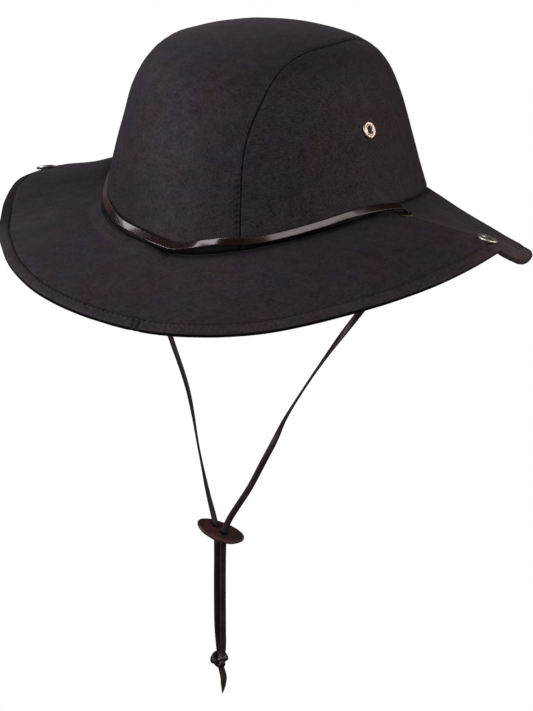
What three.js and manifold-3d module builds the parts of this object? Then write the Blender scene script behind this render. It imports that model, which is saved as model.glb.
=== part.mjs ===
// A waxed cotton brimmed hat with a flat leather lace round the crown, carried on as a chin cord.
// Millimetres. +Z is up, the front of the hat is -Y and the wearer's left is +X.
// The origin is the middle of the head opening, at the height of its sides.
import * as THREE from "three";
import { mergeVertices } from "three/addons/utils/BufferGeometryUtils.js";
import Module from "manifold-3d";

const wasm = await Module();
wasm.setup();

// Driving sizes of the crown
const HEAD_HALF_WIDTH = 82;
const HEAD_HALF_LENGTH = 102;
const CROWN_HEIGHT = 91.6;
const BASE_SAG = 15;
const CROWN_LEAN = 6.2;
const BASE_FLARE = 0.057;
const TOP_DISHING = 0.3;
const SHOULDER_SHARPNESS = 10.6;
const DISC_EASE = 0.85;
const TOP_SQUARING = 10;
const CLOTH = 2;
const GAP = 0.3;

// Driving sizes of the brim
const BRIM_CLOTH = 2.2;
const RING_INSET = 4;
const HEM_WIDTH = 5;
const HEM_THICKNESS = 3;
const RIDGE_TURNS = [-4, -176, 184];
const RIDGE_BREADTH = 17.5;
const RIDGE_GAP = 0.12;
const FRONT_FALL = { start: 0.6, power: 2 };
const BACK_FALL = { start: 1, power: 2 };
const RIDGE_FALL = { start: 0.65, power: 14 };

// Driving sizes of the metal and leather pieces
const VENT = { flange: 4.7, barrel: 2.7, bore: 2, height: 1.3, across: 0.765, along: -0.073 };
const GROMMET = { flange: 3.6, barrel: 2.6, bore: 2.1, height: 0.8, reach: 11, tilt: 0 };
const EYELET_CURL = { lip: 0.35, crest: 0.55, mouth: 0.6 };
const SNAP = {
  cap: 5.5, height: 1.5, post: 1.6, washer: 3.4, washerDepth: 3, disc: 0.8, reach: 62, tilt: 6,
};
const CUTTER_LENGTH = 24;
const LACE_WIDTH = 3.6;
const LACE_THICKNESS = 1.4;
const STRAND_STEPS = 36;
const TAIL_STEPS = 3;
const TOGGLE = { length: 26, width: 15.5, thickness: 3, roll: 23, pitch: 22, facing: 33 };
const TOGGLE_CENTRE = { x: -26.8, z: -202.6 };
const KNOT = { halfWidth: 5, halfDepth: 4.2, halfHeight: 4.6 };

// How finely each curved sheet is divided, and how many sides a round piece has
const CENTRE_GRID = { rows: 32, columns: 6 };
const SIDE_GRID = { rows: 24, columns: 10 };
const BRIM_GRID = { rows: 48, columns: 7 };
const HEM_GRID = { rows: 48, columns: 1 };
const LACE_STEPS = 64;
const ROUND_SIDES = 16;

const COLORS = { cloth: 0x26232a, hem: 0x1d1b20, leather: 0x33211c, metal: 0xb9b5aa };

// The seams of the crown: how far each lies from the middle plane at stations from the
// front (-1) over the top (0) to the back (1).
const SEAM_LINES = [
  { station: -1, left: 41, right: 47.5 },
  { station: -0.85, left: 38.3, right: 46.5 },
  { station: -0.72, left: 36.8, right: 46.5 },
  { station: -0.5, left: 39.8, right: 47 },
  { station: -0.25, left: 40.8, right: 47.5 },
  { station: 0, left: 44.5, right: 48.5 },
  { station: 0.25, left: 41, right: 47 },
  { station: 1, left: 40, right: 46 },
];

// The edge of the brim: at each turn from the wearer's left, how far it reaches past the
// head opening in plan and how far it drops below it. The front half runs over the front
// to the wearer's right, the back half over the back.
const FRONT_EDGE = [
  { turn: -4, reach: 69.6, drop: 10.3 },
  { turn: -12, reach: 67.2, drop: 15 },
  { turn: -20, reach: 64.5, drop: 18.6 },
  { turn: -30, reach: 61, drop: 21.7 },
  { turn: -42, reach: 58.5, drop: 24 },
  { turn: -58, reach: 58, drop: 26 },
  { turn: -76, reach: 59.8, drop: 23.6 },
  { turn: -90, reach: 60.2, drop: 19 },
  { turn: -104, reach: 60.6, drop: 14.2 },
  { turn: -116, reach: 59, drop: 10.8 },
  { turn: -130, reach: 56.7, drop: 9.2 },
  { turn: -144, reach: 57.4, drop: 10.3 },
  { turn: -156, reach: 61.7, drop: 9.5 },
  { turn: -168, reach: 67.7, drop: 8 },
  { turn: -176, reach: 70.7, drop: 10.2 },
];
const BACK_EDGE = [
  { turn: -4, reach: 69.6, drop: 10.3 },
  { turn: 4, reach: 66.2, drop: 19.8 },
  { turn: 12, reach: 63.8, drop: 26.2 },
  { turn: 20, reach: 62, drop: 29.5 },
  { turn: 30, reach: 60, drop: 32.5 },
  { turn: 46, reach: 57.3, drop: 38.8 },
  { turn: 62, reach: 55.8, drop: 40.8 },
  { turn: 90, reach: 55, drop: 39.5 },
  { turn: 118, reach: 56.2, drop: 34.6 },
  { turn: 134, reach: 58.3, drop: 29.3 },
  { turn: 148, reach: 61.4, drop: 23.2 },
  { turn: 160, reach: 64.8, drop: 17.6 },
  { turn: 168, reach: 67, drop: 14 },
  { turn: 176, reach: 69, drop: 11.4 },
  { turn: 184, reach: 70.7, drop: 10.2 },
];

// The lace round the front of the crown: its distance outside the line where crown and
// brim meet, and its height above that line.
const LACE_REST = [
  { turn: -4, out: 10.8, up: 2.6 },
  { turn: -6.5, out: 7.6, up: 4.4 },
  { turn: -11, out: 4, up: 5.2 },
  { turn: -18, out: 1.6, up: 6 },
  { turn: -26, out: 0.6, up: 6.4 },
  { turn: -41, out: 0.6, up: 6.3 },
  { turn: -57, out: 0.6, up: 6.2 },
  { turn: -70, out: 0.8, up: 5.6 },
  { turn: -83, out: 1, up: 5 },
  { turn: -93, out: 0.8, up: 6.4 },
  { turn: -104, out: 0.6, up: 7.6 },
  { turn: -122, out: 0.6, up: 8.2 },
  { turn: -144, out: 0.6, up: 8.5 },
  { turn: -160, out: 1.2, up: 8.2 },
  { turn: -169, out: 4, up: 6 },
  { turn: -173.5, out: 7.6, up: 4.4 },
  { turn: -176, out: 10.8, up: 2.6 },
];

// The hanging lace lies in one upright plane through both lace holes. Each strand runs
// from its hole through the toggle to the knot.
const HANGING_PLANE = -8;
const RIGHT_STRAND = [
  { x: -92.8, z: -4.2 },
  { x: -90, z: -19 },
  { x: -75.5, z: -57 },
  { x: -60.4, z: -93.5 },
  { x: -48.8, z: -122.6 },
  { x: -41.4, z: -157 },
  { x: -35.6, z: -181 },
  { x: -30.8, z: -198 },
  { x: -29.6, z: -206 },
  { x: -29.6, z: -214 },
  { x: -30, z: -238 },
  { x: -29.2, z: -262 },
  { x: -28.9, z: -276 },
];
const LEFT_STRAND = [
  { x: 92.8, z: -4.2 },
  { x: 90.5, z: -19 },
  { x: 80, z: -40 },
  { x: 65.1, z: -58.8 },
  { x: 45.6, z: -84.5 },
  { x: 28.2, z: -109.7 },
  { x: 9.8, z: -141.9 },
  { x: -6.9, z: -172.7 },
  { x: -21.4, z: -195.5 },
  { x: -24.6, z: -203.5 },
  { x: -25.4, z: -214 },
  { x: -25.6, z: -238 },
  { x: -25.4, z: -262 },
  { x: -25.2, z: -276 },
];
const KNOT_CENTRE = { x: -28.2, z: -281.2 };
const TAIL = [
  { x: -26.8, z: -286.15 },
  { x: -25.2, z: -292 },
  { x: -26, z: -300.6 },
];

const mix = (a, b, share) => a + (b - a) * share;
const radians = THREE.MathUtils.degToRad;

const hat = new THREE.Group();

function addMesh(name, geometry, color, metalness = 0, roughness = 0.8) {
  const material = new THREE.MeshStandardMaterial({ color, metalness, roughness });
  const mesh = new THREE.Mesh(geometry, material);
  mesh.name = name;
  hat.add(mesh);
  return mesh;
}

// Leaves only positions, joins equal points and drops triangles that have no area.
function cleanGeometry(geometry) {
  geometry.deleteAttribute("normal");
  geometry.deleteAttribute("uv");
  const merged = mergeVertices(geometry, 1e-4);
  const index = merged.getIndex().array;
  const kept = [];
  for (let i = 0; i < index.length; i += 3) {
    const [a, b, c] = [index[i], index[i + 1], index[i + 2]];
    if (a !== b && b !== c && c !== a) kept.push(a, b, c);
  }
  merged.setIndex(kept);
  return merged;
}

function toSolid(geometry) {
  const merged = cleanGeometry(geometry);
  const vertProperties = new Float32Array(merged.getAttribute("position").array);
  const triVerts = new Uint32Array(merged.getIndex().array);
  return new wasm.Manifold(new wasm.Mesh({ numProp: 3, vertProperties, triVerts }));
}

function toGeometry(solid) {
  const mesh = solid.getMesh();
  const geometry = new THREE.BufferGeometry();
  geometry.setAttribute("position", new THREE.BufferAttribute(new Float32Array(mesh.vertProperties), 3));
  geometry.setIndex(Array.from(mesh.triVerts));
  return geometry;
}

// A closed wall between an outer and an inner grid of points. Rows run along the piece,
// and a row whose points are all alike makes a pointed end.
function wallGeometry(outer, inner) {
  const rows = outer.length;
  const columns = outer[0].length;
  const points = [...outer.flat(), ...inner.flat()];
  const indices = [];
  const at = (side, row, column) => side * rows * columns + row * columns + column;
  const quad = (a, b, c, d) => indices.push(a, b, c, a, c, d);
  for (let row = 0; row < rows - 1; row += 1) {
    for (let column = 0; column < columns - 1; column += 1) {
      quad(at(0, row, column), at(0, row, column + 1), at(0, row + 1, column + 1), at(0, row + 1, column));
      quad(at(1, row, column), at(1, row + 1, column), at(1, row + 1, column + 1), at(1, row, column + 1));
    }
  }
  const last = columns - 1;
  for (let row = 0; row < rows - 1; row += 1) {
    quad(at(0, row, 0), at(0, row + 1, 0), at(1, row + 1, 0), at(1, row, 0));
    quad(at(0, row, last), at(1, row, last), at(1, row + 1, last), at(0, row + 1, last));
  }
  const end = rows - 1;
  for (let column = 0; column < last; column += 1) {
    quad(at(0, 0, column), at(1, 0, column), at(1, 0, column + 1), at(0, 0, column + 1));
    quad(at(0, end, column), at(0, end, column + 1), at(1, end, column + 1), at(1, end, column));
  }
  const geometry = new THREE.BufferGeometry().setFromPoints(points);
  geometry.setIndex(indices);
  return cleanGeometry(geometry);
}

function grid(rows, columns, pointAt) {
  return Array.from({ length: rows + 1 }, (_, row) =>
    Array.from({ length: columns + 1 }, (_, column) => pointAt(row / rows, column / columns)));
}

// The crown is a dome over a disc of radius 1. across and along are the disc's coordinates:
// across grows to the wearer's left, along to the back.
function crownPoint(across, along) {
  const share = Math.min(1, Math.hypot(across, along));
  const turn = Math.atan2(along, across);
  const radius = mix(share, share * (2 - share), DISC_EASE);
  const rise = 1 - TOP_DISHING * radius ** 2 - (1 - TOP_DISHING) * radius ** SHOULDER_SHARPNESS;
  const plan = radius * (1 - BASE_FLARE) + BASE_FLARE * (1 - rise) ** 4;
  const x = HEAD_HALF_WIDTH * plan * Math.cos(turn);
  const y = HEAD_HALF_LENGTH * plan * Math.sin(turn) - CROWN_LEAN * rise;
  const base = -BASE_SAG * Math.sin(turn) ** 2 * (1 - rise);
  const squaring = TOP_SQUARING * (x / HEAD_HALF_WIDTH) ** 2 * rise ** 2;
  return new THREE.Vector3(x, y, base + CROWN_HEIGHT * rise + squaring);
}

function crownNormal(across, along) {
  if (Math.hypot(across, along) < 1e-6) return new THREE.Vector3(0, 0, 1);
  const step = 1e-3;
  const point = crownPoint(across, along);
  const inward = Math.hypot(across, along) > 0.99 ? -1 : 1;
  const outwardStep = new THREE.Vector2(across, along).setLength(step * inward);
  const sideStep = new THREE.Vector2(-along, across).setLength(step);
  const radial = crownPoint(across + outwardStep.x, along + outwardStep.y).sub(point);
  const around = crownPoint(across + sideStep.x, along + sideStep.y).sub(point);
  return radial.multiplyScalar(inward).cross(around).normalize();
}

// The inner face, which at the base ends level with the outer one
function crownInner(across, along) {
  const normal = crownNormal(across, along);
  if (Math.hypot(across, along) > 0.999) normal.setZ(0).normalize();
  return crownPoint(across, along).addScaledVector(normal, -CLOTH);
}

// The disc's across coordinate at which the crown is as far from the middle plane as the
// seam of one side at a station, or a little further by the given clearance.
function seamAcross(side, station, clearance) {
  const distance = readTable(SEAM_LINES, "station", station, side) + clearance;
  let low = 0;
  let high = 0.98;
  for (let i = 0; i < 40; i += 1) {
    const middle = (low + high) / 2;
    if (crownPoint(middle, panelAlong(station, middle)).x < distance) low = middle;
    else high = middle;
  }
  return (low + high) / 2;
}

function panelAlong(station, across) {
  return station * Math.sqrt(Math.max(0, 1 - across * across));
}

function panelWall({ rows, columns }, place) {
  const outer = grid(rows, columns, (row, column) => place(row, column, crownPoint));
  const inner = grid(rows, columns, (row, column) => place(row, column, crownInner));
  return wallGeometry(outer, inner);
}

function centrePanel() {
  const place = (rowShare, columnShare, surface) => {
    const station = 2 * rowShare - 1;
    const rightEdge = -seamAcross("right", station, -GAP / 2);
    const across = mix(rightEdge, seamAcross("left", station, -GAP / 2), columnShare);
    return surface(across, panelAlong(station, across));
  };
  return panelWall(CENTRE_GRID, place);
}

// A side panel, on the wearer's left. The right one is built there too and mirrored.
function sidePanel(side) {
  const frontTurn = -Math.acos(seamAcross(side, -1, GAP / 2));
  const backTurn = Math.acos(seamAcross(side, 1, GAP / 2));
  const place = (rowShare, columnShare, surface) => {
    const station = 2 * rowShare - 1;
    const edge = seamAcross(side, station, GAP / 2);
    const turn = mix(frontTurn, backTurn, rowShare);
    const across = mix(edge, Math.cos(turn), columnShare);
    const along = mix(panelAlong(station, edge), Math.sin(turn), columnShare);
    return surface(across, along);
  };
  return panelWall(SIDE_GRID, place);
}

// A frame that stands on a surface: its Z is the surface's normal.
function frameOn(point, normal) {
  const turn = new THREE.Quaternion().setFromUnitVectors(new THREE.Vector3(0, 0, 1), normal);
  return new THREE.Matrix4().compose(point, turn, new THREE.Vector3(1, 1, 1));
}

function cutter(radius, frame) {
  const cylinder = new THREE.CylinderGeometry(radius, radius, CUTTER_LENGTH, ROUND_SIDES);
  return toSolid(cylinder.rotateX(Math.PI / 2).applyMatrix4(frame));
}

function mirrored(geometry) {
  const copy = geometry.clone().applyMatrix4(new THREE.Matrix4().makeScale(-1, 1, 1));
  const index = Array.from(copy.getIndex().array);
  for (let i = 0; i < index.length; i += 3) {
    [index[i], index[i + 1]] = [index[i + 1], index[i]];
  }
  copy.setIndex(index);
  return copy;
}

// The line where crown and brim meet
function basePoint(turn, inset = 0) {
  const angle = radians(turn);
  const normal = baseNormal(turn);
  return new THREE.Vector3(
    HEAD_HALF_WIDTH * Math.cos(angle) - normal.x * inset,
    HEAD_HALF_LENGTH * Math.sin(angle) - normal.y * inset,
    -BASE_SAG * Math.sin(angle) ** 2,
  );
}

function baseNormal(turn) {
  const angle = radians(turn);
  return new THREE.Vector3(
    Math.cos(angle) / HEAD_HALF_WIDTH,
    Math.sin(angle) / HEAD_HALF_LENGTH,
    0,
  ).normalize();
}

// Reads a table as a smooth curve, with slopes that never overshoot. Its rows are in order
// of the key's values, rising or falling.
function readTable(table, key, value, column) {
  const forward = table[1][key] > table[0][key] ? 1 : -1;
  const place = (row) => row[key] * forward;
  const wanted = THREE.MathUtils.clamp(value * forward, place(table[0]), place(table.at(-1)));
  let row = 0;
  while (row < table.length - 2 && place(table[row + 1]) < wanted) row += 1;
  const slope = (i) => {
    if (i < 0 || i >= table.length - 1) return null;
    return (table[i + 1][column] - table[i][column]) / (place(table[i + 1]) - place(table[i]));
  };
  const tangent = (i) => {
    const before = slope(i - 1);
    const after = slope(i);
    if (before === null) return after;
    if (after === null) return before;
    return before * after <= 0 ? 0 : (2 * before * after) / (before + after);
  };
  const span = place(table[row + 1]) - place(table[row]);
  const s = (wanted - place(table[row])) / span;
  const start = table[row][column];
  const end = table[row + 1][column];
  return start * (1 + 2 * s) * (1 - s) ** 2
    + tangent(row) * span * s * (1 - s) ** 2
    + end * s * s * (3 - 2 * s)
    + tangent(row + 1) * span * s * s * (s - 1);
}

function readEdge(table, turn, column) {
  return readTable(table, "turn", turn, column);
}

// How much of the drop is reached at a share of the way out: the ridge at each side runs
// almost level and bends down at its tip, while the front and back fall more evenly.
function dropShare(table, turn, share) {
  const fromRidge = Math.min(...RIDGE_TURNS.map((ridgeTurn) => Math.abs(turn - ridgeTurn)));
  const ridge = Math.exp(-((fromRidge / RIDGE_BREADTH) ** 2));
  const fall = ({ start, power }) => mix(share ** power, share, start);
  const half = table === FRONT_EDGE ? FRONT_FALL : BACK_FALL;
  return mix(fall(half), fall(RIDGE_FALL), ridge);
}

// The top face of the brim, from the head opening (share 0) to its outer edge (share 1)
function brimPoint(table, turn, share) {
  const reach = readEdge(table, turn, "reach");
  const drop = readEdge(table, turn, "drop");
  const point = basePoint(turn).addScaledVector(baseNormal(turn), reach * share);
  const fall = share > 0 ? drop * dropShare(table, turn, share) : 0;
  point.z -= GAP + fall;
  return point;
}

function brimNormal(table, turn, share) {
  const step = 0.2;
  const first = table[0].turn;
  const last = table.at(-1).turn;
  const [low, high] = first < last ? [first, last] : [last, first];
  const turnBefore = Math.max(low, turn - step);
  const turnAfter = Math.min(high, turn + step);
  const around = brimPoint(table, turnAfter, share).sub(brimPoint(table, turnBefore, share));
  const outward = brimPoint(table, turn, share + 0.01).sub(brimPoint(table, turn, share - 0.01));
  return outward.cross(around).normalize();
}

// A layer of the brim between two shares of its reach. Where the halves meet at the ridges
// both end upright, so that neither reaches under the other.
function brimWall(table, { rows, columns }, from, to, raise, thickness) {
  const first = table[0].turn;
  const last = table.at(-1).turn;
  const forward = Math.sign(last - first);
  const place = (rowShare, columnShare, depth) => {
    const turn = mix(first + RIDGE_GAP * forward, last - RIDGE_GAP * forward, rowShare);
    const share = mix(from(turn), to(turn), columnShare);
    const normal = brimNormal(table, turn, share);
    const atRidge = rowShare === 0 || rowShare === 1;
    if (atRidge) normal.setY(0).normalize();
    return brimPoint(table, turn, share).addScaledVector(normal, raise - depth);
  };
  const order = forward > 0 ? (share) => share : (share) => 1 - share;
  const top = grid(rows, columns, (row, column) => place(row, order(column), 0));
  const under = grid(rows, columns, (row, column) => place(row, order(column), thickness));
  return wallGeometry(top, under);
}

function brimHalf(table) {
  const inner = (turn) => -RING_INSET / readEdge(table, turn, "reach");
  const outer = (turn) => 1 - (HEM_WIDTH + GAP) / readEdge(table, turn, "reach");
  return brimWall(table, BRIM_GRID, inner, outer, 0, BRIM_CLOTH);
}

function brimHem(table) {
  const inner = (turn) => 1 - HEM_WIDTH / readEdge(table, turn, "reach");
  const raise = (HEM_THICKNESS - BRIM_CLOTH) / 2;
  return brimWall(table, HEM_GRID, inner, () => 1, raise, HEM_THICKNESS);
}

// A ring with a flange above the surface and a barrel that reaches down through the cloth
function eyeletGeometry({ flange, barrel, bore, height }, depth, frame) {
  const profile = [
    [bore, -depth],
    [barrel, -depth],
    [barrel, GAP],
    [flange, GAP],
    [flange, GAP + height * EYELET_CURL.lip],
    [mix(bore, flange, EYELET_CURL.crest), GAP + height],
    [bore, GAP + height * EYELET_CURL.mouth],
    [bore, -depth],
  ].map(([radius, up]) => new THREE.Vector2(radius, up));
  return new THREE.LatheGeometry(profile, ROUND_SIDES).rotateX(Math.PI / 2).applyMatrix4(frame);
}

function snapGeometry(frame) {
  const { cap, height, post, washer, washerDepth, disc } = SNAP;
  const under = -BRIM_CLOTH - washerDepth;
  const profile = [
    [0, under - disc],
    [washer, under - disc],
    [washer, under],
    [post, under],
    [post, GAP],
    [cap, GAP],
    [cap, GAP + height * 0.4],
    [cap * 0.75, GAP + height * 0.85],
    [cap * 0.35, GAP + height],
    [0, GAP + height],
  ].map(([radius, up]) => new THREE.Vector2(radius, up));
  return new THREE.LatheGeometry(profile, ROUND_SIDES).rotateX(Math.PI / 2).applyMatrix4(frame);
}

// A frame on the brim's ridge at one side. It stands upright across the fold, or tilts
// towards the back, where the cloth falls more steeply.
function ridgeFrame(turn, table, { reach, tilt }) {
  const share = reach / readEdge(table, turn, "reach");
  const point = brimPoint(table, turn, share);
  const outward = brimPoint(table, turn, share + 0.01).sub(brimPoint(table, turn, share - 0.01));
  const angle = radians(tilt);
  const along = new THREE.Vector3(0, Math.cos(angle), -Math.sin(angle));
  along.multiplyScalar(Math.sign(outward.x));
  return frameOn(point, outward.cross(along).normalize());
}

// A flat strip along a curve, standing on its edge against what it runs round
function ribbonGeometry(curve, steps, width, thickness, outwardAt) {
  const place = (share, across, depth) => {
    const tangent = curve.getTangentAt(share);
    const outward = outwardAt(curve.getPointAt(share));
    const upward = tangent.clone().cross(outward).normalize();
    const facing = upward.clone().cross(tangent).normalize();
    return curve.getPointAt(share)
      .addScaledVector(upward, across * width)
      .addScaledVector(facing, depth * thickness);
  };
  const outer = grid(steps, 1, (row, column) => place(row, column - 0.5, 0.5));
  const inner = grid(steps, 1, (row, column) => place(row, column - 0.5, -0.5));
  return wallGeometry(outer, inner);
}

function laceRound() {
  const points = LACE_REST.map(({ turn, out, up }) => {
    const point = basePoint(turn, -out);
    point.z += up;
    return point;
  });
  const curve = new THREE.CatmullRomCurve3(points);
  const outwardAt = (point) => new THREE.Vector3(
    point.x / HEAD_HALF_WIDTH ** 2,
    point.y / HEAD_HALF_LENGTH ** 2,
    0,
  ).normalize();
  return ribbonGeometry(curve, LACE_STEPS, LACE_WIDTH, LACE_THICKNESS, outwardAt);
}

function strandCurve(route) {
  return new THREE.CatmullRomCurve3(route.map(({ x, z }) => new THREE.Vector3(x, HANGING_PLANE, z)));
}

function cordGeometry(route, diameter, steps) {
  const sides = 8;
  const outline = Array.from({ length: sides }, (_, side) => {
    const angle = (2 * Math.PI * side) / sides;
    return new THREE.Vector2(Math.cos(angle), Math.sin(angle)).multiplyScalar(diameter / 2);
  });
  const options = { steps, extrudePath: strandCurve(route) };
  return new THREE.ExtrudeGeometry(new THREE.Shape(outline), options);
}

function toggleGeometry() {
  const outline = new THREE.Shape();
  outline.absellipse(0, 0, TOGGLE.length / 2, TOGGLE.width / 2, 0, 2 * Math.PI);
  const options = { depth: TOGGLE.thickness, bevelEnabled: false, curveSegments: 24 };
  const disc = new THREE.ExtrudeGeometry(outline, options).translate(0, 0, -TOGGLE.thickness / 2);
  disc.rotateX(radians(TOGGLE.pitch)).rotateY(radians(TOGGLE.roll)).rotateZ(radians(TOGGLE.facing));
  disc.translate(TOGGLE_CENTRE.x, HANGING_PLANE, TOGGLE_CENTRE.z);
  const clearance = LACE_WIDTH + 2 * GAP;
  return toGeometry(
    toSolid(disc)
      .subtract(toSolid(cordGeometry(RIGHT_STRAND, clearance, STRAND_STEPS)))
      .subtract(toSolid(cordGeometry(LEFT_STRAND, clearance, STRAND_STEPS))),
  );
}

// Crown: a strip from front to back over the top, and a panel on each side with a vent
const ventFrame = frameOn(crownPoint(VENT.across, VENT.along), crownNormal(VENT.across, VENT.along));
const ventCutter = cutter(VENT.barrel + GAP, ventFrame);
const leftSide = toGeometry(toSolid(sidePanel("left")).subtract(ventCutter));
const rightSide = toGeometry(toSolid(sidePanel("right")).subtract(ventCutter));
const leftVent = cleanGeometry(eyeletGeometry(VENT, CLOTH + GAP, ventFrame));
addMesh("crown_centre_panel", centrePanel(), COLORS.cloth);
addMesh("crown_side_left", leftSide, COLORS.cloth);
addMesh("crown_side_right", mirrored(rightSide), COLORS.cloth);
addMesh("crown_vent_left", leftVent, COLORS.metal, 1, 0.35);
addMesh("crown_vent_right", mirrored(leftVent), COLORS.metal, 1, 0.35);

// Brim: a front and a back half that meet at a ridge on each side, with a hem round the edge
const sides = [{ name: "left", turn: -4 }, { name: "right", turn: -176 }];
let brimFront = toSolid(brimHalf(FRONT_EDGE));
let brimBack = toSolid(brimHalf(BACK_EDGE));
for (const { name, turn } of sides) {
  const holeFrame = ridgeFrame(turn, FRONT_EDGE, GROMMET);
  const snapFrame = ridgeFrame(turn, FRONT_EDGE, SNAP);
  const cutters = [cutter(GROMMET.barrel + GAP, holeFrame), cutter(SNAP.post + GAP, snapFrame)];
  for (const tool of cutters) {
    brimFront = brimFront.subtract(tool);
    brimBack = brimBack.subtract(tool);
  }
  const grommet = eyeletGeometry(GROMMET, BRIM_CLOTH + GAP, holeFrame);
  addMesh(`lace_grommet_${name}`, cleanGeometry(grommet), COLORS.metal, 1, 0.35);
  addMesh(`brim_snap_${name}`, cleanGeometry(snapGeometry(snapFrame)), COLORS.metal, 1, 0.35);
}
addMesh("brim_front", toGeometry(brimFront), COLORS.cloth);
addMesh("brim_back", toGeometry(brimBack), COLORS.cloth);
addMesh("brim_hem_front", brimHem(FRONT_EDGE), COLORS.hem);
addMesh("brim_hem_back", brimHem(BACK_EDGE), COLORS.hem);

// Lace: round the crown, then from both holes through the toggle to a knot and its tail
addMesh("hat_lace", laceRound(), COLORS.leather);
addMesh("chin_lace_left", cordGeometry(LEFT_STRAND, LACE_WIDTH, STRAND_STEPS), COLORS.leather);
addMesh("chin_lace_right", cordGeometry(RIGHT_STRAND, LACE_WIDTH, STRAND_STEPS), COLORS.leather);
addMesh("chin_toggle", toggleGeometry(), COLORS.leather);
addMesh("lace_tail", cordGeometry(TAIL, LACE_WIDTH, TAIL_STEPS), COLORS.leather);
const knot = addMesh("lace_knot", new THREE.SphereGeometry(1, 16, 10), COLORS.leather);
knot.scale.set(KNOT.halfWidth, KNOT.halfDepth, KNOT.halfHeight);
knot.position.set(KNOT_CENTRE.x, HANGING_PLANE, KNOT_CENTRE.z);

export default hat;
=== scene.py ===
"""The looks of a waxed cotton hat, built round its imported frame.

Metres. +Z is up, the front of the hat is -Y and the wearer's left is +X. The origin is the
middle of the head opening, at the height of its sides.
"""
import math

import bpy
import numpy as np
from mathutils import Matrix, Vector


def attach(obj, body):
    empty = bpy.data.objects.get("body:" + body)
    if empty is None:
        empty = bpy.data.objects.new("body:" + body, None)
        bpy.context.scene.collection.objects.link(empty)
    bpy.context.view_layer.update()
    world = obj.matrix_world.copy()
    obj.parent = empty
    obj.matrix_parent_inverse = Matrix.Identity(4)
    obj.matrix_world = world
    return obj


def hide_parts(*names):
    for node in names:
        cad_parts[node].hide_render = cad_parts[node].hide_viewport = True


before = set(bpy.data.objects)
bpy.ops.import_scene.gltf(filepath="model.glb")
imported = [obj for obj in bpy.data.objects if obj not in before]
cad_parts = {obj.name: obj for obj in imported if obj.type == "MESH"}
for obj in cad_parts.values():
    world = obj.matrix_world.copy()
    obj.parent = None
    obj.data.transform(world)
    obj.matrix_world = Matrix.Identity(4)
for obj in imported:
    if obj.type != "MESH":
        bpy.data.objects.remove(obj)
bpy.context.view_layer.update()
MM = 0.001

# Camera, fitted to the photograph's outline
CAMERA_AZIMUTH = math.radians(33.3)
CAMERA_ELEVATION = math.radians(16.7)
CAMERA_DISTANCE = 1.8
CAMERA_AIM_RIGHT = -0.9 * MM
CAMERA_AIM_UP = -92.5 * MM
PHOTO_HEIGHT_PX = 711
FOCAL_LENGTH_PX = 3294
SENSOR_MM = 36

# Driving sizes of the crown
HEAD_HALF_WIDTH = 82 * MM
HEAD_HALF_LENGTH = 102 * MM
CROWN_HEIGHT = 91.6 * MM
BASE_SAG = 15 * MM
CROWN_LEAN = 6.2 * MM
BASE_FLARE = 0.057
TOP_DISHING = 0.3
SHOULDER_SHARPNESS = 10.6
DISC_EASE = 0.85
TOP_SQUARING = 10 * MM
CLOTH = 2 * MM

# Driving sizes of the brim
BRIM_CLOTH = 2.2 * MM
BRIM_GAP = 0.3 * MM
RING_INSET = 4 * MM
HEM_WIDTH = 5 * MM
HEM_THICKNESS = 3 * MM
RIDGE_TURNS = (-4, -176, 184)
RIDGE_BREADTH = 17.5
FRONT_FALL = (0.6, 2)
BACK_FALL = (1, 2)
RIDGE_FALL = (0.65, 14)
RIGHT_RIDGE_LIFT = 12 * MM
RIGHT_LIFT_TURNS = (-182, 178)
RIGHT_LIFT_BREADTH = 15
RIGHT_LIFT_START = 0.25

# Driving sizes of the metal and leather pieces
VENT_PLACE = (0.769, -0.08)
VENT_TILT = math.radians(9)
GROMMET_REACH = 11 * MM
SNAP_REACH = 62 * MM
SNAP_TILTS = {"left": 10, "right": 13}
LACE_WIDTH = 3.6 * MM
LACE_THICKNESS = 1.3 * MM
BAND_WIDTH = 4.1 * MM


def table(columns, *rows):
    """A short table with named columns, as one array for each column."""
    return dict(zip(columns.split(), np.array(rows, float).T))


# The seams of the crown: how far each lies from the middle plane in millimetres, at stations
# from the front (-1) over the top (0) to the back (1).
SEAM_LINES = table(
    "station left right",
    (-1, 41, 47.5), (-0.85, 38.3, 46.5), (-0.72, 36.8, 46.5), (-0.5, 39.8, 47),
    (-0.25, 40.8, 47.5), (0, 44.5, 48.5), (0.25, 41, 47), (1, 40, 46),
)

# The edge of the brim: at each turn from the wearer's left in degrees, its reach past the
# head opening and its drop below it, in millimetres.
FRONT_EDGE = table(
    "turn reach drop",
    (-4, 69.6, 10.3), (-12, 67.2, 15), (-20, 64.5, 18.6), (-30, 61, 21.7), (-42, 58.5, 24),
    (-58, 58, 26), (-76, 59.8, 23.6), (-90, 60.2, 19), (-104, 60.6, 14.2), (-116, 59, 10.8),
    (-130, 56.7, 9.2), (-144, 57.4, 10.3), (-156, 61.7, 9.5), (-168, 67.7, 8), (-176, 70.7, 10.2),
)
BACK_EDGE = table(
    "turn reach drop",
    (-4, 69.6, 10.3), (4, 66.2, 19.8), (12, 63.8, 26.4), (20, 61, 29.3), (30, 57.6, 31.4),
    (46, 55.5, 37.5), (62, 55.2, 40.5), (90, 55, 39.5), (118, 56.2, 34.6), (134, 58.3, 29.3),
    (148, 61.4, 23.2), (160, 64.8, 17.6), (168, 67, 14), (176, 69, 11.4), (184, 70.7, 10.2),
)

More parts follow.
